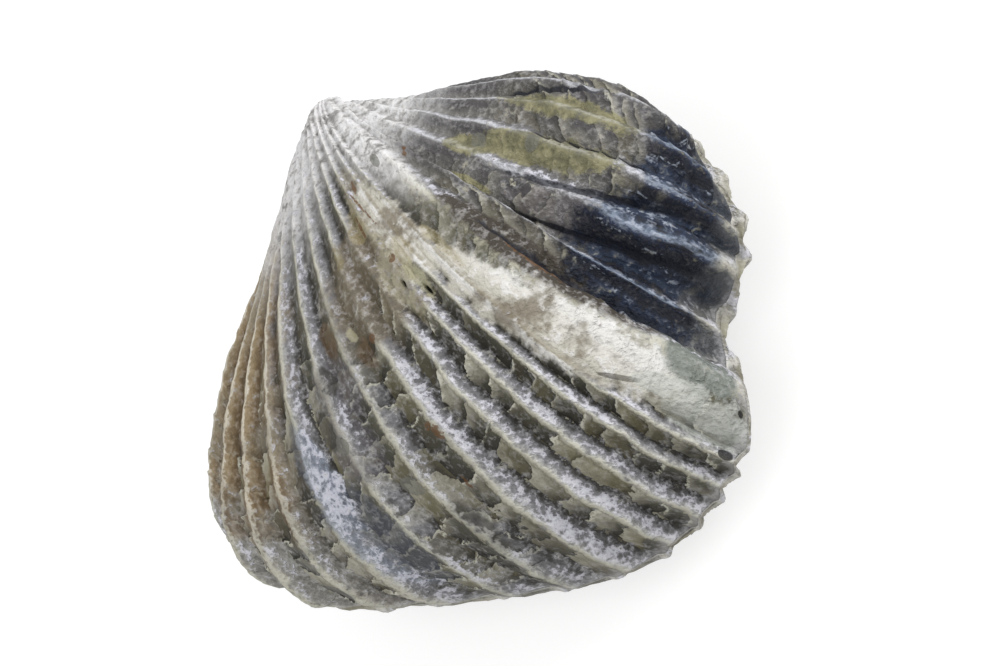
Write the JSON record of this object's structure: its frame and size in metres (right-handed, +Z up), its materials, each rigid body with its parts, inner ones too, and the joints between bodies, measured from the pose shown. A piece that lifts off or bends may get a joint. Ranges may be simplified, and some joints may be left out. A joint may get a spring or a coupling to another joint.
{
  "type": "brachiopod shell",
  "caption": "Closed brachiopod shell for display or study: a fan of ribs runs from the beak to a zigzag front edge, with a raised middle fold and a sulcus under it.",
  "frame": {"origin": "centre of the shell's box on the surface that it lies on", "axes": "+X across the shell, towards its fuller flank; +Y from the beak to the zigzag front edge; +Z up, out of the brachial valve"},
  "size_m": [0.027, 0.0236, 0.0147],
  "materials": {
    "brachial_valve": "satin grey-brown fossil shell with cream rib crests and dark grooves",
    "pedicle_valve": "satin beige fossil shell with pale rib crests"
  },
  "bodies": {
    "root": {"brachial_valve": "brachial_valve", "pedicle_valve": "pedicle_valve"}
  },
  "joints": []
}
